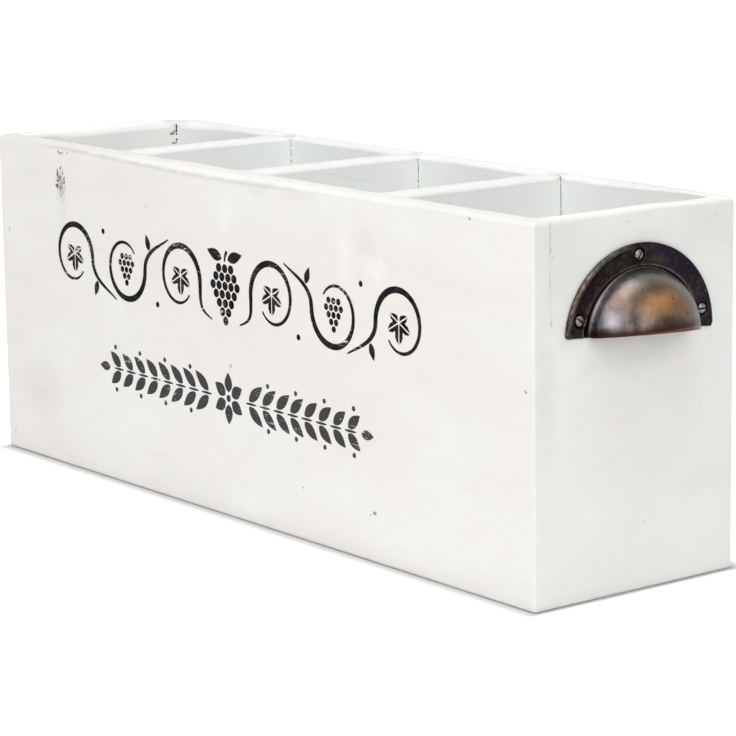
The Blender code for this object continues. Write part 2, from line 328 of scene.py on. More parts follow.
def new_material(name):
    made = bpy.data.materials.new(name)
    made.use_nodes = True
    made.node_tree.nodes.clear()
    return made, add("TexCoord", tree=made.node_tree).outputs["Object"]


def add_surface(colour, roughness, metallic, height=None, depth=0, gloss=0.5):
    """The shader of a finish, with its height pattern as bump of a depth in millimetres."""
    look = {"Base Color": colour, "Roughness": roughness, "Metallic": metallic, "Specular IOR Level": gloss}
    if height:
        look["Normal"] = add("Bump", {"Strength": 1.0, "Distance": depth * MM, "Height": height})
    add("OutputMaterial", {"Surface": add("BsdfPrincipled", look)})


def grain(coords, axis, length, width, detail=3.0, roughness=0.5):
    """Noise drawn out along one axis: its patches are length by width, in millimetres."""
    scale = [PER_MM / width] * 3
    scale[axis] = PER_MM / length
    place = add("Mapping", {"Vector": coords, "Scale": scale})
    return add("TexNoise", {"Vector": place, "Scale": 1.0, "Detail": detail, "Roughness": roughness})


def mottled(coords, size, detail, roughness):
    """Noise in patches of a size in millimetres, alike in all directions."""
    look = {"Vector": coords, "Scale": PER_MM / size, "Detail": detail, "Roughness": roughness}
    return add("TexNoise", look)


def shaken(coords, size, reach):
    """Coordinates that wander by up to reach over patches of a size, so that outlines are ragged."""
    drift = mottled(coords, size, 2.0, 0.5).outputs["Color"]
    centred = add("VectorMath SUBTRACT", drift, (0.5, 0.5, 0.5))
    return add("VectorMath MULTIPLY_ADD", centred, (4 * reach * MM,) * 3, coords)


def spots(coords, places, low=0.0, high=1.0, cover=1.0, edge="LINEAR"):
    """A mask of ellipsoids (place, reach): from 0 at their surface to 1 in their middle, of which the
    part from low to high is spread over 0 to cover."""
    total = 0.0
    for place, reach in places:
        frame_of = {"Vector": coords, "Location": Vector(place) * MM, "Scale": Vector(reach) * MM}
        where = add("Mapping", frame_of, vector_type="TEXTURE")
        ball = add("TexGradient", {"Vector": where}, gradient_type="SPHERICAL")
        total = add("Math MAXIMUM", total, ball.outputs["Fac"])
    return add("MapRange", total, low, high, 0.0, cover, interpolation_type=edge)


def coats(colour, layers):
    """Lays colours over each other, each where its mask lets it through."""
    for mask, code in layers:
        over = linear(code) if isinstance(code, str) else code
        colour = add("Mix", {0: mask, 6: colour, 7: over}, data_type="RGBA").outputs[2]
    return colour


def on_front(deep, *rows):
    """Spots on the front: where along it and up, how wide and high, and how deep, in millimetres."""
    return [((x, -OUT_Y * PER_MM, z), (wide, deep, high)) for x, z, wide, high in rows]


def on_end(deep, *rows, x=OUT_X * PER_MM):
    """Spots on an end: where along it and up, how wide and high, and how deep, in millimetres."""
    return [((x, y, z), (deep, wide, high)) for y, z, wide, high in rows]


# Paint

COOL = ((0.34, "ECEDEB"), (0.46, "EFF0EE"), (0.56, "EEF1EE"), (0.68, "F1F2F1"))
WARM = ((0.34, "E6E5E1"), (0.45, "EAE6E3"), (0.56, "E9E9E5"), (0.68, "ECECEA"))
END = ((0.34, "DFE1DC"), (0.46, "E4E4E0"), (0.56, "E1E4E0"), (0.68, "E6E8E5"))
# A coat's patches, streaks, smears and pits: the pattern that grain() makes (length, width, detail and
# roughness), the part of it that shows, the cover and the colour
COAT_LAYERS = (
    ((34, 13, 4.0, 0.6), 0.46, 0.68, 0.28, "E6E3DC"),
    ((46, 1.3, 4.0, 0.6), 0.42, 0.75, 0.16, "DFDCD4"),
    ((30, 4.5, 5.0, 0.65), 0.58, 0.72, 0.2, "DAD5CC"),
    ((2.6, 1.9, 2.0, 0.5), 0.78, 0.80, 0.35, "8C8378"),
)
# Where the back rim is painted greyer, as painted shade: its left corner, a long stretch and the joints
BACK_RIM_SHADE = [((-IN_X * PER_MM, IN_Y * PER_MM, TOP * PER_MM), (15, 12, 7.5)), ((196, 65.5, 201), (80, 9.5, 7))]
for low, high in DIVIDERS.values():
    BACK_RIM_SHADE.append((((low.x + high.x) / 2 * PER_MM, IN_Y * PER_MM, TOP * PER_MM), (13, 9, 6)))


def cell_bounce_tint(coords):
    """How far the painted cool, whiter tint for the light bounced inside the cells covers: none at their rims
    or outside.
    """
    parts = add("SeparateXYZ", coords).outputs
    mask = add("MapRange", parts[2], TOP - 3 * MM, TOP - 5.5 * MM, 0.0, 0.6)
    for axis, limit in ((0, IN_X), (1, IN_Y)):
        size = add("Math ABSOLUTE", parts[axis])
        within = add("MapRange", size, limit + 1.6 * MM, limit + 0.5 * MM)
        mask = add("Math MULTIPLY", mask, within)
    return mask


def brushed_coat(coords, along, tones):
    """Clouds, streaks from the bristles along one axis and pits, as a colour and as heights."""
    clouds = grain(coords, along, 105, 42, 3.0, 0.55)
    colour = add("ValToRGB", clouds, stops=tones, easing="EASE")
    patterns = []
    for pattern, low, high, cover, code in COAT_LAYERS:
        patterns.append(grain(coords, along, *pattern))
        mask = add("MapRange", patterns[-1], low, high, 0.0, cover)
        colour = coats(colour, [(mask, code)])
    return colour, add("Math MULTIPLY_ADD", patterns[0], 1.5, patterns[1])


def brushed_paint(name, along, tones, rubbed, marks):
    """White chalk paint brushed on pine and sanded by hand: matt, with broad warm and cool clouds where
    the wood warms the thin coats, fine streaks from the bristles along the board, and a few pits. The
    rim is painted a shade darker, as painted shade that tones down the strong top light on it, and parts of
    the back rim darker still; the faces inside the cells get a painted cooler, whiter tint for the light
    bounced between them. The long boards' cut ends were painted in one go with the end boards and look like
    them."""
    made, coords = new_material(name)
    parts = add("SeparateXYZ", coords).outputs
    rim_shade_mask = add("MapRange", parts[2], TOP - 2.6 * MM, TOP - 0.4 * MM, 0.0, 0.8)
    back_rim_shade = spots(coords, BACK_RIM_SHADE, 0.15, 0.6, 0.85)
    colour, height = brushed_coat(coords, along, tones)
    # Painted light: a cool, whiter tint for the light bounced inside the cells, and painted shade on the rim
    # and on parts of the back rim
    layers = [(cell_bounce_tint(coords), "EFF2F0"), (rim_shade_mask, rubbed), (back_rim_shade, "D2D3D3")]
    colour = coats(colour, layers)
    if marks:
        colour = marks(coords, colour)
    if along == 0:
        outside = add("Math ABSOLUTE", parts[0])
        on_cut = add("MapRange", outside, OUT_X - 1.2 * MM, OUT_X - 0.4 * MM)
        cut_colour, cut_height = brushed_coat(coords, 1, END)
        colour = coats(colour, [(on_cut, end_marks(coords, cut_colour))])
        height = add("Mix", {0: on_cut, 2: height, 3: cut_height})
    add_surface(colour, 0.6, 0.0, height, 0.03, 0.3)
    return made


def front_marks(coords, colour):
    """The front's own marks: a painted shade line under its rounded rim, a knot that came through the paint
    with its grey run below, small pits, and smudges from handling."""
    parts = add("SeparateXYZ", coords).outputs
    along = add("MapRange", parts[0], -OUT_X, OUT_X)
    # Painted shade: a soft darker line where the rounded rim meets the flat front, following the rounding's
    # depth along the board
    deep = 10.0
    stops = [((x * MM + OUT_X) / (2 * OUT_X), radius / deep) for x, radius in FRONT_ROUNDING]
    curve = add("ValToRGB", along, stops=stops, easing="B_SPLINE")
    line = add("Math MULTIPLY_ADD", curve, -deep * MM, TOP - 0.3 * MM)
    ragged = grain(coords, 0, 12, 5, 3.0, 0.6)
    line = add("Math MULTIPLY_ADD", ragged, 1.6 * MM, line)
    off = add("Math SUBTRACT", parts[2], line)
    off = add("Math ABSOLUTE", off)
    rim_shade_line = add("MapRange", off, 1.9 * MM, 0.1 * MM)
    stops = ((0.08, 0), (0.13, 0.34), (0.56, 0.34), (0.66, 0.1), (0.98, 0.06))
    fade = add("ValToRGB", along, stops=stops)
    worn = add("MapRange", ragged, 0.3, 0.5, 0.45, 1.0)
    for more in (fade, worn):
        rim_shade_line = add("Math MULTIPLY", rim_shade_line, more)

    fine = shaken(coords, 2.2, 0.8)
    broad = shaken(coords, 18, 6)
    knot = on_front(
        9, (-186.9, 181.6, 1.5, 4.0), (-184.8, 179.1, 1.7, 1.9), (-187.2, 176.9, 2.0, 1.7),
        (-188.0, 174.0, 2.2, 2.0), (-179.4, 178.3, 1.1, 3.2), (-181.3, 183.0, 0.8, 2.6),
        (-183.6, 185.2, 1.6, 1.2), (-181.0, 175.8, 1.3, 1.0), (-184.6, 172.6, 1.0, 1.2),
    )
    above_knot = on_front(
        9, (-185.4, 195.2, 1.3, 1.7), (-183.2, 194.2, 2.6, 1.3), (-180.4, 194.8, 1.6, 1.1),
        (-175.6, 194.6, 1.0, 0.9),
    )
    around = spots(fine, on_front(20, (-183.6, 175, 7.8, 15)))
    hatch = mottled(coords, 1.5, 3.0, 0.7)
    flecks = add("Math MULTIPLY_ADD", around, 0.4, hatch)
    flecks = add("MapRange", flecks, 0.66, 0.80, 0.0, 0.6)
    run = on_front(20, (-183.5, 160, 7, 26)) + on_front(9, (-246.8, 139, 1.2, 4.5))
    smudges = on_front(30, (119, 176, 15, 9), (-214, 40, 32, 26), (20, 194, 24, 5), (64, 191, 20, 6))
    bright = on_front(30, (128, 160, 12, 14), (101, 165, 12, 22), (-10, 176, 12, 12))
    warm = on_front(300, (60, 112, 300, 95), (-120, 150, 160, 60), (-175, 66, 110, 70))
    pits = on_front(
        9, (250.2, 113.8, 1.3, 1.3), (-248.2, 10.6, 1.1, 1.1), (-7.2, 88.6, 1.4, 1.4), (60.7, 30.4, 1.2, 1.2),
        (-90.6, 171.5, 1.2, 1.2), (207, 196.2, 1.6, 1.4), (124.9, 27.8, 2.6, 1.6), (121.5, 25.9, 1.0, 1.0),
        (-246.8, 141, 0.8, 2.4),
    )
    layers = (
        (spots(broad, warm, 0.0, 0.5, 0.32), "E3DCD4"),
        (spots(broad, bright, 0.0, 0.9, 0.5), "F2F2ED"),
        (spots(broad, smudges, 0.0, 1.0, 0.35), "CFCCC4"),
        (spots(coords, run, 0.1, 0.7, 0.35), "DAD7D0"),
        (rim_shade_line, "A8A39C"),
        (flecks, "6E6862"),
        (spots(fine, knot, 0.25, 0.6), "2B2623"),
        (spots(fine, above_knot, 0.2, 0.6, 0.75), "3A3531"),
        (spots(fine, pits, 0.25, 0.7, 0.8), "5B4C3E"),
    )
    return coats(colour, layers)


def end_marks(coords, colour):
    """The ends' own marks: grime in the joint between the front board's edge and the end board, a short
    split in it near the top, a torn inner corner, brown pits, the rim where hands polished it, and darker
    patches that are grime at the back joints, painted shade high on the end near the front and a painted
    shadow under the pull."""
    parts = add("SeparateXYZ", coords).outputs
    ragged = grain(coords, 2, 14, 3, 3.0, 0.65)
    seam = add("Math MULTIPLY_ADD", ragged, 1.6 * MM, IN_Y - 0.8 * MM)
    side = add("Math ABSOLUTE", parts[1])
    off = add("Math SUBTRACT", side, seam)
    off = add("Math ABSOLUTE", off)
    joint = add("MapRange", off, 0.7 * MM, 0.1 * MM)
    outside = add("Math ABSOLUTE", parts[0])
    for shown in (
        (outside, OUT_X - 1.5 * MM, OUT_X - 0.6 * MM), (parts[2], 125 * MM, 180 * MM),
        (ragged, 0.35, 0.6, 0.0, 0.45), (parts[1], 0.0, 10 * MM, 1.0, 0.0),
    ):
        joint = add("Math MULTIPLY", joint, add("MapRange", *shown))

    fine = shaken(coords, 2.5, 0.6)
    broad = shaken(coords, 16, 5)
    left = -OUT_X * PER_MM
    split = on_end(
        3, (-57.8, 191.0, 0.5, 4.2), (-57.5, 184.6, 0.5, 2.8), (-56.1, 180.6, 1.5, 0.7),
        (-58.1, 168, 0.45, 3.0), (-57.2, 148, 0.6, 4.0),
    )
    torn = on_end(2, (54.6, 190.6, 3.6, 1.1), (56.6, 191.8, 2.0, 1.4), (55.8, 184.2, 3.0, 1.2), x=-245.5)
    pits = on_end(
        3, (-6.8, 194.1, 2.2, 0.8), (54.6, 191.5, 2.4, 0.7), (6.4, 35.6, 1.5, 1.1), (45.0, 93.0, 2.4, 0.6)
    ) + on_end(3, (22.0, 160.0, 1.4, 1.0), (-31.0, 58.0, 1.1, 1.3), x=left)
    warm = on_end(20, (-14, 92, 34, 46), (8, 66, 30, 30), (30, 110, 24, 30), (-22, 128, 26, 22))
    # Darker patches: grime at the back joints, painted shade high on the end near the front, and a painted
    # shadow just under the pull
    grime_and_shade = on_end(
        9, (-57, 184, 8, 22), (-54, 190, 34, 70), (52, 196, 30, 26), (0, 122, 46, 9), (-50, 140, 12, 12),
        (-64, 120, 12, 60), (64, 182, 7, 22),
    ) + on_end(9, (56, 180, 9, 26), x=left)
    polished = on_end(12, (-12, 200, 62, 8), x=-250)
    layers = (
        (spots(broad, warm, 0.0, 0.7, 0.34), "E0D9D2"),
        (spots(broad, on_end(20, (40, 14, 46, 40)), 0.0, 0.7, 0.5), "ECEBE8"),
        (spots(broad, grime_and_shade, 0.0, 0.8, 0.4), "D0D1CA"),
        (joint, "8F8A80"),
        (spots(fine, split, 0.1, 0.8, 0.36), "5C564C"),
        (spots(fine, torn, 0.2, 0.6, 0.8), "4C4640"),
        (spots(fine, pits, 0.1, 0.9, 0.24), "75634F"),
        (spots(coords, polished, 0.0, 0.5, 0.25), "F4F5F2"),
    )
    return coats(colour, layers)


def divider_marks(coords, colour):
    """A faint scratch slanting down one cross board."""
    parts = add("SeparateXYZ", coords).outputs
    slant = add("Math MULTIPLY_ADD", parts[1], 0.26, parts[2])
    off = add("Math SUBTRACT", slant, 192.3 * MM)
    off = add("Math ABSOLUTE", off)
    line = add("MapRange", off, 0.45 * MM, 0.05 * MM)
    length = spots(coords, on_end(2, (8, 190, 22, 14), x=6), 0.0, 0.4, 0.16)
    mask = add("Math MULTIPLY", line, length)
    return coats(colour, [(mask, "8E9490")])


# What is missing from the stencil's paint, as in COAT_LAYERS: flakes, scratches and pinholes
FLAKING = (
    ((7, 2.2, 6.0, 0.75), 0.655, 0.04, "D8D5CF"),
    ((26, 0.55, 3.0, 0.6), 0.70, 0.05, "A9A6A3"),
    ((1.0, 0.8, 1.0), 0.78, 0.05, "A8A6A3"),
)


def stencil_paint():
    """Black stencil paint dabbed on thin and sanded along the board: matt, nearly black above and rubbed
    grey below, with pinholes, missing flakes and fine scratches where the white shows."""
    made, coords = new_material("sanded_black_stencil_paint")
    up = add("SeparateXYZ", coords).outputs[2]
    low = add("MapRange", up, 112 * MM, 88 * MM, 0.0, 0.82)
    tone = grain(coords, 0, 6, 4, 4.0, 0.6)
    areas = grain(coords, 0, 60, 24, 2.0)
    heavy = add("MapRange", areas, 0.35, 0.65, -0.03, 0.08)
    rubbed = add("Math MULTIPLY_ADD", tone, 0.9, heavy)
    stops = ((0.30, "0A090B"), (0.46, "1B191D"), (0.66, "343136"))
    colour = coats(add("ValToRGB", rubbed, stops=stops), [(low, "484649")])
    patterns = []
    for pattern, edge, blur, code in FLAKING:
        patterns.append(grain(coords, 0, *pattern))
        value = add("Math ADD", patterns[-1], heavy)
        colour = coats(colour, [(add("MapRange", value, edge, edge + blur), code)])
    add_surface(colour, 0.6, 0.0, patterns[0], 0.03, 0.03)
    return made


# Bronze, and the plainer materials

# Colours on a pull's hood: the patina that the bath and the polishing left, mixed with painted light: painted
# highlights on the lower left, painted reflections of the white room in the grey top and right side, and
# painted shade in the dark patches low down. In millimetres from its seat (out from the wall, along it,
# up), each patch with its reach, its colour and how strongly it covers
HOOD_PATINA_AND_PAINTED_LIGHT = (
    ((10, -2, 32), (20, 27, 14), "62655F", 0.95),
    ((16, 12, 25), (16, 20, 17), "5F5B55", 0.9),
    ((21, 20, 9), (15, 14, 21), "655F57", 0.9),
    ((7, -17, 27), (12, 14, 12), "7F7878", 0.9),
    ((2, -30, 16), (9, 10, 17), "85828A", 0.95),
    ((11, -19, 24.5), (8, 5, 9), "77655E", 0.75),
    ((11.6, -23.5, 20), (8, 5, 10), "6C5651", 0.8),
    # Painted highlight: the pale lilac gleam low on the left, where a softbox reflects
    ((12, -29, 10), (10, 8.5, 8), "8C848E", 0.95),
    ((13, -28.5, 10.5), (4, 3.5, 3.5), "A59BA6", 0.6),
    ((5.5, -33, 10.5), (5, 4, 9), "5D606E", 0.8),
    # Painted shade: a near-black patch between the highlight and the copper
    ((19.6, -20.5, 11), (6, 6, 12), "302D2B", 0.95),
    ((17.5, -16, 19), (9, 8, 12), "4F4031", 0.85),
    ((19, -3, 26), (11, 20, 8), "554233", 0.85),
    ((22, -5, 17), (13, 17, 13), "735740", 0.95),
    ((22, -3, 19.5), (10, 17, 8), "A37548", 0.85),
    ((23.5, 8, 14), (12, 13, 12), "75583F", 0.85),
    ((23.6, -10, 12.5), (7, 5, 8), "6C5F4E", 0.8),
    ((25.8, -2, 8), (10, 19, 6.5), "3F2A1D", 0.9),
    ((24.6, 14, 7.5), (9, 10, 8), "5A524B", 0.8),
    ((9, -33, 4), (9, 12, 4.5), "2C2028", 0.9),
    ((2.6, -35.5, 8), (3.6, 4.0, 17), "221A24", 0.95),
)
FLANGE_PATINA = (
    ((2, 30, 40), (8, 34, 26), "1E1826", 0.9),
    ((2, 46, 12), (6, 12, 18), "262027", 0.9),
    ((2, 12, 36.5), (4, 9, 3.0), "35312A", 0.7),
    ((2, -22, 36), (4, 7, 6), "2B2217", 0.8),
    ((2, -30, 33), (4, 9, 9), "221D17", 0.7),
    ((2, -37, 28), (4, 4, 7), "331A19", 0.75),
    ((2, -41, 17), (4, 4, 9), "2A1718", 0.8),
    ((2, 34, 22), (4, 3, 4), "2E1519", 0.75),
    ((2, 24.5, 30.7), (3, 2.6, 2.6), "141810", 0.9),
    ((2, 44.4, 17.2), (3, 0.9, 0.6), "7A7671", 0.7),
)
# Casting pits on the hood: place and reach
HOOD_PITS = (
    ((21.7, 3.3, 20), (2, 1.0, 1.0)), ((23.7, 11.5, 11.8), (2, 1.1, 1.5)), ((9, 19, 25), (2, 0.8, 0.8))
)


def ellipse(seated, wide, tall):
    """How far out from a pull's middle, seen from the end: 1 on the ellipse of these half sizes."""
    share = add("VectorMath DIVIDE", seated, (1e3, wide, tall))
    return add("VectorMath LENGTH", share).outputs["Value"]


def antique_bronze():
    """Cast bronze blackened in a bath and rubbed back by hand: purple black on the flange with olive and
    red stains, grey on the hood's top and sides, copper where fingers reach, a pale polished arris. Painted
    light lies on it too: the pale arris on the left of the flange's shoulder and the bead are partly painted
    highlight, the groove at the hood's foot and the hood's lower band are painted shade, the lip carries a
    thin painted highlight, and the hood's patches hold painted highlights, reflections and shade."""
    made, coords = new_material("rubbed_antique_bronze")
    x, y, up = add("SeparateXYZ", coords).outputs
    side = add("Math SIGN", x)
    out = add("Math ABSOLUTE", x)
    along = add("Math MULTIPLY", y, side)
    facing = add("CombineXYZ", out, along, up)
    seated = add("VectorMath SUBTRACT", facing, (OUT_X, PULL_SHIFT, PULL_BASE))
    blotched = shaken(seated, 5, 1.3)
    out, along, up = add("SeparateXYZ", seated).outputs
    hood = ellipse(seated, HOOD_HALF_WIDTH + 1.2 * MM, HOOD_HEIGHT + 0.7 * MM)
    flange = ellipse(seated, FLANGE_HALF_WIDTH, FLANGE_HEIGHT)
    bead = ellipse(seated, BEAD_HALF_WIDTH, BEAD_HEIGHT)
    mottle = mottled(coords, 5, 5.0, 0.65)
    fine = mottled(coords, 1.6, 3.0, 0.6)

    stops = ((0.35, "19141A"), (0.5, "231B1E"), (0.66, "33271F"))
    flange_colour = add("ValToRGB", mottle, stops=stops)
    for centre, reach, code, cover in FLANGE_PATINA:
        mask = spots(blotched, [(centre, reach)], 0.0, 0.55, cover)
        flange_colour = coats(flange_colour, [(mask, code)])
    # Painted highlight: a pale band on the left of the flange's shoulder, partly polished wear
    shoulder_highlight = add("MapRange", flange, 0.935, 0.965)
    left = add("MapRange", along, -6 * MM, -22 * MM, 0.0, 0.9)
    worn = add("MapRange", mottle, 0.36, 0.6, 0.25, 1.0)
    for more in (left, worn):
        shoulder_highlight = add("Math MULTIPLY", shoulder_highlight, more)
    high = add("MapRange", up, 12 * MM, 40 * MM)
    stops = ((0.0, "585050"), (0.45, "8A7263"), (0.8, "6C6A6C"))
    shoulder_highlight_colour = add("ValToRGB", high, stops=stops)
    warm = add("MapRange", grain(coords, 2, 4.5, 4.5, 4.0, 0.6), 0.52, 0.66, 0.0, 0.42)
    blots = add("MapRange", fine, 0.5, 0.62, 0.0, 0.6)
    # Painted highlight on the bead round the hood, where it is also rubbed
    off = add("Math SUBTRACT", bead, 1.0)
    off = add("Math ABSOLUTE", off)
    bead_highlight_and_wear = add("MapRange", off, 0.016, 0.004)
    bead_highlight_and_wear = add("Math MULTIPLY", bead_highlight_and_wear, worn)
    # Painted shade: a dark ring in the groove at the hood's foot
    groove_shade = add("MapRange", bead, 0.985, 0.965, 0.0, 0.85)
    layers = (
        (shoulder_highlight, shoulder_highlight_colour), (warm, "42352A"), (blots, "0D090C"), (bead_highlight_and_wear, "5E574C"),
        (groove_shade, "120D0D"),
    )
    flange_colour = coats(flange_colour, layers)

    hood_colour = add("ValToRGB", mottle, stops=((0.35, "5B524C"), (0.65, "776C63")))
    for centre, reach, code, cover in HOOD_PATINA_AND_PAINTED_LIGHT:
        mask = spots(blotched, [(centre, reach)], 0.0, 0.95, cover, "SMOOTHSTEP")
        hood_colour = coats(hood_colour, [(mask, code)])
    lip = add("Math MULTIPLY_ADD", out, -LIP_RISE / HOOD_REACH, up)
    rise = add("Math MULTIPLY_ADD", mottle, 2.5 * MM, lip)
    layers = (
        (add("MapRange", fine, 0.66, 0.72, 0.0, 0.5), "4A3C34"),
        # Painted shade: the hood's lower band above the lip is darker; painted highlight: a thin copper line
        # along the lip's edge
        (add("MapRange", rise, 7.2 * MM, 3.8 * MM, 0.0, 0.9), "2C1B1A"),
        (add("MapRange", lip, 1.3 * MM, 0.8 * MM, 0.0, 0.7), "684734"),
        (spots(seated, HOOD_PITS, 0.1, 0.6, 0.8), "5A2E1C"),
    )
    hood_colour = coats(hood_colour, layers)
    on_hood = add("MapRange", hood, 1.01, 0.985)
    gloss = add("MapRange", mottle, 0.3, 0.7, 0.28, 0.45)
    height = add("Math MULTIPLY_ADD", fine, 0.35, mottle)
    add_surface(coats(flange_colour, [(on_hood, hood_colour)]), gloss, 1.0, height, 0.35)
    return made


# Plainer materials: the pattern that grain() makes, the tones it runs through, then roughness, metal,
# depth of the bump in millimetres and gloss
PLAIN = {
    # Bare pine inside a joint that opened, painted near black as the shade deep in the crack: it reads as a
    # dark hairline
    "shaded_bare_pine": ((3, 1.2, 2.0), ((0.3, "14110F"), (0.8, "3A332C")), 0.9, 0.0, 0, 0.2),
    # Zinc plated steel, turned and plated, now dull: mid grey with a soft shine and fine turning marks
    "zinc_plated_steel": ((1.2, 0.5, 3.0, 0.6), ((0.35, "5F5F5E"), (0.65, "898988")), 0.34, 1.0, 0.03, 0.5),
    # The faces of a screw's slot: nearly black and matt
    "near_black_screw_slot": ((0.8, 0.5, 2.0), ((0.3, "100E0D"), (0.8, "2B2723")), 0.85, 0.0, 0, 0.2),
    # Drawn steel wire with a pressed head: dull grey with a little rust
    "drawn_steel_pin_wire": ((3, 3, 3.0), ((0.4, "8A8A88"), (0.75, "6B5A4C")), 0.45, 1.0, 0.02, 0.5),
}


def plain(name):
    pattern, tones, roughness, metallic, depth, gloss = PLAIN[name]
    made, coords = new_material(name)
    flecks = grain(coords, 2, *pattern)
    colour = add("ValToRGB", flecks, stops=tones)
    add_surface(colour, roughness, metallic, flecks if depth else None, depth, gloss)
    return made


# Boards

def round_edges(obj, radius_of):
    """Rounds each edge to the radius that radius_of gives for its two ends."""
    mesh = obj.data
    weights = mesh.attributes.new("bevel_weight_edge", "FLOAT", "EDGE")
    for edge in mesh.edges:
        ends = [mesh.vertices[i].co for i in edge.vertices]
        weights.data[edge.index].value = radius_of(*ends) / RIM_RADIUS
    apply_modifier(obj, "BEVEL", limit_method="WEIGHT", width=RIM_RADIUS, segments=ROUND_STEPS)


def on(ends, axis, value):
    return all(abs(end[axis] - value) < TOLERANCE for end in ends)


def wall_radius(*ends):
    """The radius of a front or back board's edge."""
    at_end = on(ends, 0, OUT_X) or on(ends, 0, -OUT_X)
    outer = on(ends, 1, OUT_Y) or on(ends, 1, FRONT_Y)
    if not (outer or at_end):
        return 0
    if on(ends, 2, TOP):
        return RIM_RADIUS
    if outer and at_end:
        return CORNER_RADIUS
    return LOWER_RADIUS if on(ends, 2, 0) else 0


def end_radius(*ends):
    """The radius of an end board's edge."""
    if not (on(ends, 0, OUT_X) or on(ends, 0, -OUT_X)):
        return 0
    if on(ends, 2, TOP):
        return RIM_RADIUS
    return LOWER_RADIUS if on(ends, 2, 0) else 0


def stretched(value, radius, reach):
    """Where a point of a rounding goes that gets another radius; what lies beyond it eases in by reach."""
    if value < RIM_RADIUS:
        return value * radius / RIM_RADIUS
    return radius + (value - RIM_RADIUS) * (reach - radius) / (reach - RIM_RADIUS)


def sand_rims(obj, axis, face, along, table):
    """Carries an outer rounding further down where the hand sanding went deeper. It stretches what lies
    within the rounding and eases the rest of the face after it."""
    for vertex in obj.data.vertices:
        place = vertex.co
        inward = abs(face - place[axis])
        down = TOP - place.z
        if inward > SANDED_TOP or down > SANDED_LOW:
            continue
        radius = between(table, place[along] * PER_MM) * MM
        place.z = TOP - stretched(down, radius, SANDED_LOW)
        place[axis] = face - math.copysign(stretched(inward, radius, SANDED_TOP), face)


def board(name, low, high, radius_of):
    obj = cube(name, low, high)
    for axis in range(3):
        divide(obj, axis, SQUARE if obj.dimensions[axis] > 3 * SQUARE else 1)
    if radius_of:
        round_edges(obj, radius_of)
    return obj


def rim_cutter(low_x, high_x):
    """What a router takes off round one cell. Its bearing can't reach into the corners."""
    deselect()
    centre = Vector(((low_x + high_x) / 2, 0, TOP - RIM_RADIUS - CUTTER_FOOT))
    width = high_x - low_x - CUTTER_PLAY
    depth = 2 * IN_Y - CUTTER_PLAY
    bpy.ops.mesh.primitive_plane_add(size=1, location=centre)
    obj = bpy.context.object
    obj.scale = (width, depth, 1)
    settle(obj)
    edit(obj, "VERT", "SELECT")
    bpy.ops.mesh.bevel(offset=ROUTER_RADIUS, segments=8, profile=0.5, affect="VERTICES")
    leave()
    shape = edit(obj, "EDGE")
    for edge in shape.edges:
        edge.select_set(edge.calc_length() > 3 * SQUARE)
    bmesh.update_edit_mesh(obj.data)
    bpy.ops.mesh.subdivide(number_cuts=20)
    bpy.ops.mesh.select_all(action="SELECT")
    spread = 0
    height = -CUTTER_FOOT
    steps = [(0, 0)]
    for i in range(1, ROUND_STEPS + 1):
        angle = math.pi / 2 * i / ROUND_STEPS
        steps.append((RIM_RADIUS * (1 - math.cos(angle)), RIM_RADIUS * math.sin(angle)))
    steps.append((RIM_RADIUS + CUTTER_PLAY, RIM_RADIUS + CUTTER_RISE))
    for next_spread, next_height in steps:
        bpy.ops.mesh.extrude_region_move(TRANSFORM_OT_translate={"value": (0, 0, next_height - height)})
        grown = [(size + 2 * next_spread) / (size + 2 * spread) for size in (width, depth)]
        bpy.ops.transform.resize(value=(*grown, 1), center_override=centre)
        spread, height = next_spread, next_height
    leave(facing_out=True)
    return obj


def eased(value, low, high):
    share = min(1, max(0, (value - low) / (high - low)))
    return share * share * (3 - 2 * share)


def reshape_corner(obj, corner_x, radius, along_y, along_x):
    """Brings the rounding of a cell's rim to another radius at a back corner, alike on the boards that
    meet there. It comes in from the first to the second of two places along each board."""
    side = math.copysign(1, corner_x)
    for vertex in obj.data.vertices:
        place = vertex.co
        beside, behind, down = side * (place.x - corner_x), place.y - IN_Y, TOP - place.z
        if max(beside, behind) < -0.2 * MM or max(beside, behind) > SANDED_TOP or down > SANDED_LOW:
            continue
        share = eased(place.y * PER_MM, *along_y) * eased(side * place.x * PER_MM, *along_x)
        start = RIM_RADIUS + (radius - RIM_RADIUS) * share
        for value, reach, axis, way in (
            (beside, SANDED_TOP, 0, side), (behind, SANDED_TOP, 1, 1), (down, SANDED_LOW, 2, -1)
        ):
            if value > 0:
                place[axis] += (stretched(value, start, reach) - value) * way


def sand_hollows(obj, hollows):
    """Takes down the tips that the router leaves in the corners, and more where hands wore the rims."""
    for vertex in obj.data.vertices:
        place = vertex.co
        high = (place.z - (TOP - ROUTER_RADIUS)) / ROUTER_RADIUS
        if high <= 0:
            continue
        dips = [0]
        for (x, y), (wide, deep), depth in hollows:
            away = math.hypot((place.x * PER_MM - x) / wide, (place.y * PER_MM - y) / deep)
            if away < 1:
                dips.append(depth * MM * high * (1 - away ** 2) ** 2)
        place.z -= max(dips)


def hand_finish(obj):
    """Moves the surface a little, as sanding and brushed paint do, alike on boards that meet."""
    low = Vector((-OUT_X, FRONT_Y, 0))
    high = Vector((OUT_X, OUT_Y, TOP))
    for vertex in obj.data.vertices:
        place = vertex.co.copy()
        rim = min(1, max(0, (place.z - (TOP - 9 * MM)) / (6 * MM)))
        for (patch, height), share in ((BROAD_WAVES, 1), (RIM_WAVES, rim)):
            vertex.co += noise.noise_vector(place * (PER_MM / patch)) * height * share * MM
        for axis in range(3):
            vertex.co[axis] = min(high[axis], max(low[axis], vertex.co[axis]))


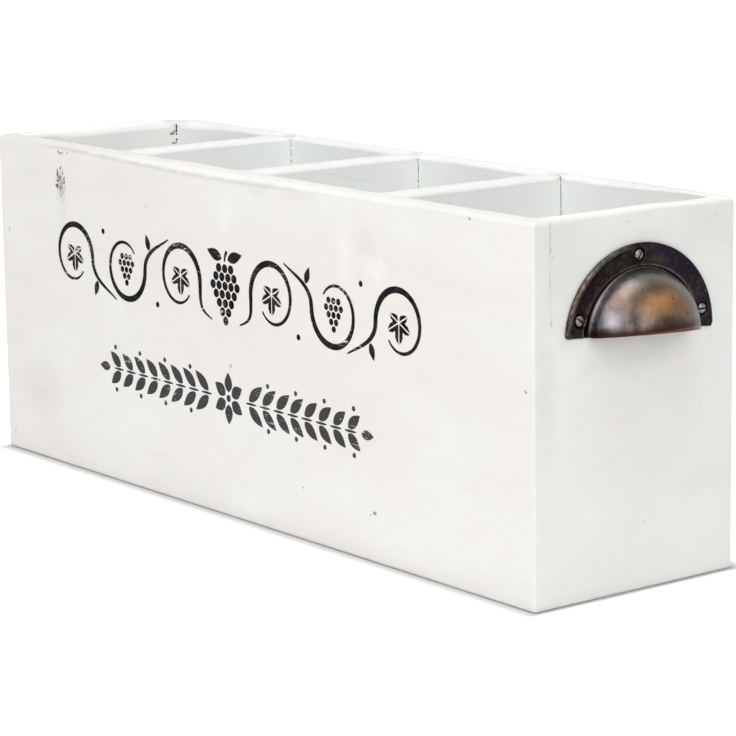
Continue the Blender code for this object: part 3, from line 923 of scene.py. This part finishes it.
def joint_crack(x, spans, dark):
    """A cutter for the joint where a cross board meets the back board: thin blades, paint between."""
    blades = []
    for high, low, half, *depth in spans:
        blade = cube(
            "blade",
            (x - (depth[0] * MM if depth else CRACK_DEPTH), IN_Y - half * MM, low * MM),
            (x + 1.2 * half * MM, IN_Y + half * MM, high * MM),
        )
        divide(blade, 2, 1.0 * MM)
        for vertex in blade.data.vertices:
            shift = noise.noise_vector(vertex.co * (PER_MM / 1.7))
            vertex.co += Vector((shift.x, shift.y, 0)) * 0.12 * MM
        wear(blade, dark)
        blades.append(blade)
    deselect()
    for blade in blades:
        blade.select_set(True)
    bpy.context.view_layer.objects.active = blades[0]
    bpy.ops.object.join()
    return bpy.context.object


low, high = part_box("bottom_board")
# The fourth argument of each is the rim's tone, painted darker as painted shade against the top light
end_coat = brushed_paint("chalk_painted_pine_ends", 1, END, "E3E4E0", end_marks)
divider_coat = brushed_paint("chalk_painted_pine_dividers", 1, COOL, "D9DAD8", divider_marks)
back_coat = brushed_paint("chalk_painted_pine_back", 0, COOL, "DDDEDD", None)
front_coat = brushed_paint("chalk_painted_pine_front", 0, WARM, "D4D5D2", front_marks)
pieces = {
    "front_board": ((-OUT_X, FRONT_Y, 0), (OUT_X, -IN_Y, TOP), wall_radius, front_coat),
    "back_board": ((-OUT_X, IN_Y, 0), (OUT_X, OUT_Y, TOP), wall_radius, back_coat),
    "right_end_board": ((IN_X, -IN_Y, 0), (OUT_X, IN_Y, TOP), end_radius, end_coat),
    "left_end_board": ((-OUT_X, -IN_Y, 0), (-IN_X, IN_Y, TOP), end_radius, end_coat),
}
for node_name, (first, last) in DIVIDERS.items():
    corners = (first.x, -IN_Y - EMBED, first.z - EMBED), (last.x, IN_Y + EMBED, TOP)
    pieces[node_name] = (*corners, None, divider_coat)
corners = (-IN_X - EMBED, -IN_Y - EMBED, BOTTOM_LIFT), (IN_X + EMBED, IN_Y + EMBED, high.z)
pieces["bottom_board"] = (*corners, None, back_coat)
boards = {name: board("painted_" + name, *piece[:3]) for name, piece in pieces.items()}
for node_name, axis, face, along, table in (
    ("front_board", 1, FRONT_Y, 0, FRONT_ROUNDING), ("back_board", 1, OUT_Y, 0, BACK_ROUNDING),
    ("right_end_board", 0, OUT_X, 1, END_ROUNDING), ("left_end_board", 0, -OUT_X, 1, END_ROUNDING),
):
    sand_rims(boards[node_name], axis, face, along, table)

cross = ["left_end_board", *DIVIDERS, "right_end_board"]
for i in range(4):
    cutter = rim_cutter(CELL_SIDES[2 * i], CELL_SIDES[2 * i + 1])
    for node_name in ("front_board", "back_board", cross[i], cross[i + 1]):
        subtract(boards[node_name], cutter)
    remove(cutter)

bare = plain("shaded_bare_pine")
for node_name, spans in CRACKS.items():
    blade = joint_crack(CELL_SIDES[2 * cross.index(node_name)], spans, bare)
    subtract(boards[node_name], blade)
    subtract(boards["back_board"], blade)
    remove(blade)

hollows = list(WORN)
for i, x in enumerate(CELL_SIDES):
    reach, depth = SANDED[(i + 1) // 2]
    hollows.append(((x * PER_MM, IN_Y * PER_MM), (reach, reach), depth))
for node_name, obj in boards.items():
    reshape_corner(obj, -IN_X, WIDE_RIM, (-54, -10), (180, 238))
    if node_name != "right_end_board":
        reshape_corner(obj, IN_X, NARROW_RIM, (36, 56), (160, 236))
    sand_hollows(obj, hollows)
    hand_finish(obj)
    finish = pieces[node_name][-1]
    if obj.data.materials:
        obj.data.materials[0] = finish
    else:
        obj.data.materials.append(finish)
    only(obj)
    bpy.ops.object.shade_smooth_by_angle(angle=math.radians(35))
    apply_modifier(obj, "WEIGHTED_NORMAL", keep_sharp=True)
    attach(obj, "root")
    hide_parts(node_name)


# Cup pulls

# The casting's section: shares of the way from the flange's edge to the hood, beside it and above it,
# and heights in millimetres. A rounded shoulder, a wide trough, a bead and a groove at the hood's foot.
SECTION = (
    (0.000, 0.000, 1.20), (0.006, 0.006, 1.60), (0.020, 0.020, 2.00), (0.050, 0.050, 2.30),
    (0.090, 0.095, 2.42), (0.135, 0.145, 2.36), (0.175, 0.190, 2.08), (0.220, 0.240, 1.70),
    (0.270, 0.300, 1.42), (0.340, 0.400, 1.26), (0.430, 0.540, 1.22), (0.530, 0.680, 1.26),
    (0.600, 0.765, 1.45), (0.640, 0.815, 1.80), (0.672, 0.855, 2.05), (0.705, 0.885, 1.98),
    (0.740, 0.910, 1.60), (0.800, 0.930, 1.28), (0.900, 0.955, 1.24), (0.960, 0.975, 1.60),
    (0.987, 0.990, 2.60),
)
RING_POINTS = 160
HOOD_RINGS = 40
CAVITY_RINGS = 30
HOOD_TURN = math.radians(89)
CAVITY_TURN = math.radians(88)


def hood_ring(turn, wall=0):
    """A ring of the hood, or of the hollow under its wall: half width, height, and how far out."""
    return (
        (HOOD_HALF_WIDTH - wall) * math.cos(turn),
        (HOOD_HEIGHT - wall) * math.cos(turn),
        HOOD_CENTRE + (HOOD_REACH - wall) * math.sin(turn),
    )


def casting(name):
    """One cup pull at its seat: X out of the end board, Y along it, Z up, the flange's foot at 0."""
    last = CAVITY_RINGS - 1
    rings = [hood_ring(CAVITY_TURN * step / last, HOOD_WALL) for step in range(last, -1, -1)]
    rings.append((HOOD_HALF_WIDTH - HOOD_WALL, HOOD_HEIGHT - HOOD_WALL, PULL_BACK))
    rings.append((FLANGE_HALF_WIDTH, FLANGE_HEIGHT, PULL_BACK))
    for beside, above, height in SECTION:
        wide = FLANGE_HALF_WIDTH + (HOOD_HALF_WIDTH - FLANGE_HALF_WIDTH) * beside
        rings.append((wide, FLANGE_HEIGHT + (HOOD_HEIGHT - FLANGE_HEIGHT) * above, height * MM))
    rings += [hood_ring(HOOD_TURN * step / HOOD_RINGS) for step in range(2, HOOD_RINGS + 1)]
    deselect()
    upright = (0, math.pi / 2, 0)
    bpy.ops.mesh.primitive_circle_add(vertices=RING_POINTS, radius=1, fill_type="NGON", rotation=upright)
    obj = just_added(name)
    edit(obj, "FACE", "SELECT")
    wide, tall, out = rings[0]
    bpy.ops.transform.resize(value=(1, wide, tall), center_override=(0, 0, 0))
    bpy.ops.transform.translate(value=(out, 0, 0))
    for next_wide, next_tall, next_out in rings[1:]:
        bpy.ops.mesh.extrude_region_move(TRANSFORM_OT_translate={"value": (next_out - out, 0, 0)})
        grown = (1, next_wide / wide, next_tall / tall)
        bpy.ops.transform.resize(value=grown, center_override=(next_out, 0, 0))
        wide, tall, out = next_wide, next_tall, next_out
    leave(facing_out=True)
    return obj


def screw_place(angle):
    along = HOOD_HALF_WIDTH + (FLANGE_HALF_WIDTH - HOOD_HALF_WIDTH) * SCREW_BAND_SHARE
    up = HOOD_HEIGHT + (FLANGE_HEIGHT - HOOD_HEIGHT) * SCREW_BAND_SHARE
    return Vector((0, along * math.cos(angle), up * math.sin(angle)))


def drum(name, place, radius, back, front):
    """A round bar along X."""
    deselect()
    bpy.ops.mesh.primitive_cylinder_add(
        vertices=48, radius=radius, depth=front - back, rotation=(0, math.pi / 2, 0),
        location=place + Vector(((front + back) / 2, 0, 0)),
    )
    return just_added(name)


def cup_pull(name):
    obj = casting(name)
    span = 60 * MM
    below = cube("below", (-span, -span, -span), (span, span, 0))
    lip = cube("lip", (-span, -span, -span), (span, span, 0))
    lip.rotation_euler = (0, -math.atan2(LIP_RISE + LIP_DROP, HOOD_REACH), 0)
    lip.location = (LIP_START, 0, -LIP_DROP)
    settle(lip)
    subtract(obj, below)
    subtract(obj, lip)
    remove(below, lip)
    for angle, _ in SCREWS.values():
        collar = drum("collar", screw_place(angle), *COLLAR)
        apply_modifier(obj, "BOOLEAN", operation="UNION", solver="EXACT", object=collar)
        remove(collar)
    for angle, _ in SCREWS.values():
        hole = drum("hole", screw_place(angle), *SCREW_HOLE)
        subtract(obj, hole)
        remove(hole)
    apply_modifier(obj, "REMESH", mode="VOXEL", voxel_size=CASTING_VOXEL)
    apply_modifier(obj, "SMOOTH", factor=0.5, iterations=3)
    for vertex in obj.data.vertices:
        place = vertex.co
        beyond = (abs(place.y) - FLANGE_HALF_WIDTH) / FLANGE_CORNER + 1
        under = 1 - place.z / FLANGE_CORNER
        if beyond > 0 and under > 0:
            ease = max(beyond, under) / math.hypot(beyond, under)
            place.y = math.copysign(FLANGE_HALF_WIDTH + (beyond * ease - 1) * FLANGE_CORNER, place.y)
            place.z = (1 - under * ease) * FLANGE_CORNER
    return obj


def slotted_screw(name, plating, slot_finish):
    """A round head with a slot, its middle at 0 and its seat along X."""
    deselect()
    bpy.ops.mesh.primitive_uv_sphere_add(segments=48, ring_count=24, radius=1, rotation=(0, math.pi / 2, 0))
    obj = bpy.context.object
    obj.name = name
    obj.scale = HEAD_SIZE
    settle(obj)
    edit(obj, action="SELECT")
    bpy.ops.mesh.bisect(plane_co=(HEAD_BACK, 0, 0), plane_no=(1, 0, 0), use_fill=True, clear_inner=True)
    leave()
    wear(obj, plating)
    slot = cube("slot", *SLOT)
    wear(slot, slot_finish)
    subtract(obj, slot)
    remove(slot)
    sharp = math.radians(50)
    apply_modifier(obj, "BEVEL", width=0.07 * MM, segments=2, limit_method="ANGLE", angle_limit=sharp)
    only(obj)
    bpy.ops.object.shade_smooth_by_angle(angle=math.radians(40))
    return obj


bronze = antique_bronze()
master_pull = cup_pull("master_pull")
master_screw = slotted_screw("master_screw", plain("zinc_plated_steel"), plain("near_black_screw_slot"))
for side, sign, tilt in (("right", 1, RIGHT_PULL_TILT), ("left", -1, LEFT_PULL_TILT)):
    seat = Matrix.Translation((sign * OUT_X, sign * PULL_SHIFT, PULL_BASE))
    if sign < 0:
        seat = seat @ Matrix.Rotation(math.pi, 4, "Z")
    seat = seat @ Matrix.Rotation(tilt, 4, "X")
    pull = copy_of(master_pull, f"antique_{side}_cup_pull")
    pull.data.transform(seat)
    wear(pull, bronze)
    pull.data.shade_smooth()
    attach(pull, "root")
    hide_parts(f"{side}_cup_pull")
    for label, (angle, slot_angle) in SCREWS.items():
        screw = copy_of(master_screw, f"zinc_{side}_pull_screw_{label}")
        place = screw_place(angle) + Vector((HEAD_LIFT, 0, 0))
        turn = Matrix.Rotation(slot_angle - math.pi / 2, 4, "X")
        screw.data.transform(seat @ Matrix.Translation(place) @ turn)
        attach(screw, "root")
        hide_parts(f"{side}_pull_screw_{label}")
remove(master_pull, master_screw)


# Stencilled ornament: a vine border above, a laurel garland below. Millimetres, X along the front and
# Z up, turned to metres in film(). The gaps between its pieces are the bridges of a cut stencil.

LEAF_EDGE = (
    (0, 1.0), (7, 0.90), (10, 0.93), (17, 0.78), (20, 0.80), (27, 0.60), (33, 0.50), (39, 0.58),
    (44, 0.74), (47, 0.72), (54, 0.86), (57, 0.84), (62, 0.93), (67, 0.82), (70, 0.83), (77, 0.68),
    (80, 0.68), (87, 0.50), (92, 0.44), (98, 0.50), (104, 0.62), (107, 0.60), (113, 0.70), (118, 0.74),
    (124, 0.64), (128, 0.65), (136, 0.52), (139, 0.53), (148, 0.42), (160, 0.36), (172, 0.24),
)


def polar(degrees, reach=1.0):
    turn = math.radians(degrees)
    return Vector((reach * math.cos(turn), reach * math.sin(turn)))


def placed(points, x, z, degrees, size=1.0, side=1):
    turn = Matrix.Rotation(math.radians(degrees), 2)
    return [Vector((x, z)) + size * (turn @ Vector((point[0], side * point[1]))) for point in points]


def disc(x, z, radius, sides=18):
    return [Vector((x, z)) + polar(360 * i / sides, radius) for i in range(sides)]


def stroke(points, widths):
    """The outline of a line whose width changes along it."""
    left, right = [], []
    for i, point in enumerate(points):
        way = points[min(i + 1, len(points) - 1)] - points[max(i - 1, 0)]
        across = Vector((-way.y, way.x)).normalized() * widths[i] / 2
        left.append(point + across)
        right.append(point - across)
    return left + right[::-1]


def lance_leaf(x, z, degrees, length, width):
    steps = 14
    upper = []
    for i in range(steps + 1):
        share = i / steps
        half = width / 2 * max(0, math.sin(math.pi * share ** 0.8)) ** 0.9
        upper.append((length * share, half))
    lower = [(along, -half) for along, half in upper[-2:0:-1]]
    return placed(upper + lower, x, z, degrees)


def vine_leaf(x, z, degrees, size, gap):
    """A five-lobed leaf in six pieces, with its veins left open."""
    half = gap / size / 2
    pieces = []
    for low, high in ((0, 62), (62, 118), (118, 172)):
        middle = (low + high) / 2
        piece = [polar(middle, half / math.sin(math.radians((high - low) / 2)))]
        for degrees_at, reach in LEAF_EDGE:
            if degrees_at == low:
                piece.append(polar(low, reach) + polar(low + 90, half))
            elif degrees_at == high:
                piece.append(polar(high, reach) - polar(high + 90, half))
            elif low + 4 <= degrees_at <= high - 4:
                piece.append(polar(degrees_at, reach))
        pieces += [placed(piece, x, z, degrees, size, side) for side in (1, -1)]
    return pieces


def bunch(x, z, rows, radius, pitch, drop):
    """Grapes in rows, each row a drop below the last."""
    return [
        disc(x + (i - (count - 1) / 2) * pitch, z - row * drop, radius)
        for row, count in enumerate(rows)
        for i in range(count)
    ]


def scroll(x, z, flip, up, start, way, pull):
    """One turn of the vine: it leaves start along way, then winds in round x, z."""
    coil = []
    for i in range(61):
        share = i / 60
        point = polar(180 - 318 * share, 20.5 * (1 - 0.38 * share ** 1.4))
        coil.append(Vector((x + flip * point.x, z + up * point.y)))
    near_start = start + way * pull
    near_end = coil[0] - Vector((0, up * pull))
    path = []
    for i in range(14):
        share = i / 14
        path.append(
            (1 - share) ** 3 * start
            + 3 * share * (1 - share) ** 2 * near_start
            + 3 * share ** 2 * (1 - share) * near_end
            + share ** 3 * coil[0]
        )
    path += coil
    widths = []
    for i in range(len(path)):
        share = i / (len(path) - 1)
        width = 0.9 + 2.9 * math.sin(min(1, share / 0.28) * math.pi / 2)
        widths.append(width - (width - 1.2) * max(0, (share - 0.34) / 0.66) ** 1.1)
    return stroke(path, widths)


def vine_border(x, z):
    outlines = bunch(x, z + 11.2, (3, 4, 5, 4, 3, 2, 1), 2.6, 5.9, 5.0)
    stalk = [Vector((x, z + 15.2)), Vector((x + 0.4, z + 18)), Vector((x + 2.2, z + 21.3))]
    outlines.append(stroke(stalk, (1.4, 1.8, 2.4)))
    spacing = 57
    for flip in (1, -1):
        outlines.append(lance_leaf(x + flip * 2.9, z + 16.6, 90 - flip * 74, 14.7, 6.4))
        for i in range(3):
            up = -1 if i % 2 else 1
            middle = x + flip * (45.5 + spacing * i)
            if i:
                leaving = polar(62)
                start = Vector((middle - flip * (spacing - 24 * leaving.x), z - up * 24 * leaving.y))
                way, pull = Vector((flip * leaving.y, up * leaving.x)), 12
            else:
                start, way, pull = Vector((x + flip * 13.5, z - 19.5)), Vector((flip * 0.95, 0.3)), 13
            outlines.append(scroll(middle, z, flip, up, start, way, pull))
            if i == 1:
                outlines += bunch(middle - flip * 0.5, z + 6.0, (3, 4, 3, 2, 1), 1.9, 4.4, 3.9)
            else:
                outlines += vine_leaf(middle - flip * 0.6, z + 1.8, -90, 11.6, 0.8)
            if i < 2:
                edge = middle + flip * (spacing / 2 + 1.5)
                outlines.append(lance_leaf(edge + flip * 1.4, z + up * 12.4, up * (90 - flip * 20), 10, 4.8))
                outlines.append(disc(edge - flip * 6.0, z - up * 18.5, 1.7))
    return outlines


def laurel_garland(x, z):
    outlines = [disc(x, z, 2.1)]
    for i in range(6):
        foot = polar(60 * i + 30, 3.6)
        outlines.append(lance_leaf(x + foot.x, z + foot.y, 60 * i + 30, 11.5, 7.4))
    for flip in (1, -1):
        for i in range(8):
            at = 20 + 13.2 * i
            for side in (1, -1):
                lean = 37 * side
                degrees = lean if flip > 0 else 180 - lean
                outlines.append(lance_leaf(x + flip * at, z + side * 1.7, degrees, 16.5 - 0.45 * i, 6.6))
                if i % 2:
                    outlines.append(disc(x + flip * (at + 5.2), z + side * 12.9, 1.5, 14))
            twig = [Vector((x + flip * (at - 3 + j), z)) for j in range(0, 11, 2)]
            outlines.append(stroke(twig, (0.6, 1.2, 1.5, 1.5, 1.2, 0.6)))
        outlines.append(lance_leaf(x + flip * 124, z, 90 - flip * 90, 11, 5.5))
    return outlines


def dabbed(outline, spacing=0.7, rough=0.13):
    """An outline with the slightly ragged edge that paint leaves under a stencil."""
    made = []
    for start, end in zip(outline, outline[1:] + outline[:1]):
        steps = max(1, round((end - start).length / spacing))
        for i in range(steps):
            point = start.lerp(end, i / steps)
            shift = noise.noise_vector(Vector((point.x, point.y, 0)) / 0.9)
            made.append(point + shift.xy * rough)
    return made


def film(name, outlines, finish):
    """Paint film on the front, from closed outlines."""
    data = bpy.data.curves.new(name, "CURVE")
    data.dimensions = "2D"
    data.fill_mode = "BOTH"
    data.extrude = FILM_HALF
    for outline in outlines:
        ragged = dabbed(outline)
        spline = data.splines.new("POLY")
        spline.points.add(len(ragged) - 1)
        for point, place in zip(spline.points, ragged):
            point.co = (place.x * MM, place.y * MM, 0, 1)
        spline.use_cyclic_u = True
    obj = put(name, data)
    obj.rotation_euler = (math.pi / 2, 0, 0)
    obj.location = (0, -OUT_Y + FILM_FACE, 0)
    only(obj)
    bpy.ops.object.convert(target="MESH")
    obj = settle(bpy.context.object)
    edit(obj, "VERT", "SELECT")
    bpy.ops.mesh.remove_doubles(threshold=0.001 * MM)
    leave(facing_out=True)
    wear(obj, finish)
    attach(obj, "root")


black = stencil_paint()
film("stencilled_vine_border", vine_border(-11, 133), black)
film("stencilled_laurel_garland", laurel_garland(-10, 69.5), black)


# Pins keep their CAD shape
pin_finish = plain("drawn_steel_pin_wire")
for name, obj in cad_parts.items():
    if name.startswith("pin_"):
        if not obj.material_slots:
            obj.data.materials.append(pin_finish)
        for slot in obj.material_slots:
            slot.material = pin_finish


# Floor, light and camera

def seen_directly(tree):
    """1 for rays that see a surface directly, in a mirror or through glass."""
    path = add("LightPath", tree=tree).outputs
    seen = path["Is Camera Ray"]
    for other in ("Is Glossy Ray", "Is Transmission Ray"):
        seen = add("Math MAXIMUM", seen, path[other])
    return seen


deselect()
bpy.ops.mesh.primitive_plane_add(size=40, location=(0, 0, 0))
floor = just_added("studio_floor")
floor_finish, coords = new_material("white_studio_floor")
# Painted shadow round the box's foot: within CONTACT_REACH the floor's colour goes to a darker grey and its
# glow for camera rays drops away
gap = add("VectorMath ABSOLUTE", coords)
for way, by in (("SUBTRACT", (OUT_X, OUT_Y, 0)), ("MAXIMUM", (0, 0, 0)), ("DIVIDE", (*CONTACT_REACH, 1))):
    gap = add("VectorMath " + way, gap, by)
gap = add("VectorMath LENGTH", gap).outputs["Value"]
clear = add("MapRange", gap, interpolation_type="SMOOTHSTEP")
tone = coats(linear("CACACA"), [(clear, "F4F4F4")])
close = add("Math MULTIPLY", clear, FLOOR_LIFT)
distance = add("VectorMath LENGTH", coords).outputs["Value"]
far = add("MapRange", distance, 0.5, 1.6, 0.0, 0.4)
lift = add("Math ADD", close, far)
shown = add("Math MULTIPLY", seen_directly(coords.id_data), lift)
glow = add("Emission", {"Color": (1, 1, 1, 1), "Strength": shown})
both = add("AddShader", add("BsdfDiffuse", {"Color": tone}), glow)
add("OutputMaterial", {"Surface": both})
wear(floor, floor_finish)

world = bpy.data.worlds.new("white_studio")
bpy.context.scene.world = world
world.use_nodes = True
world.node_tree.nodes.clear()
strength = add("MapRange", seen_directly(world.node_tree), 0.0, 1.0, AMBIENT, 1.0)
sky = add("Background", {"Color": (1, 1, 1, 1), "Strength": strength})
add("OutputWorld", {"Surface": sky})

for name, (place, target, size, power) in SOFTBOXES.items():
    data = bpy.data.lights.new(name, "AREA")
    data.shape = "SQUARE"
    data.size = size
    data.energy = power
    lamp = put(name, data)
    lamp.location = place
    lamp.rotation_euler = (Vector(target) - Vector(place)).to_track_quat("-Z", "Y").to_euler()

camera_data = bpy.data.cameras.new("photo_camera")
camera_data.sensor_width = 36
camera_data.lens = LENS
camera_data.clip_end = 100
camera = put("photo_camera", camera_data)
turn = Matrix((ACROSS, ACROSS.cross(LOOK), -LOOK)).transposed().to_4x4()
camera.matrix_world = Matrix.Translation(LENS_PLACE) @ turn
bpy.context.scene.camera = camera
bpy.context.scene.view_settings.view_transform = "Standard"
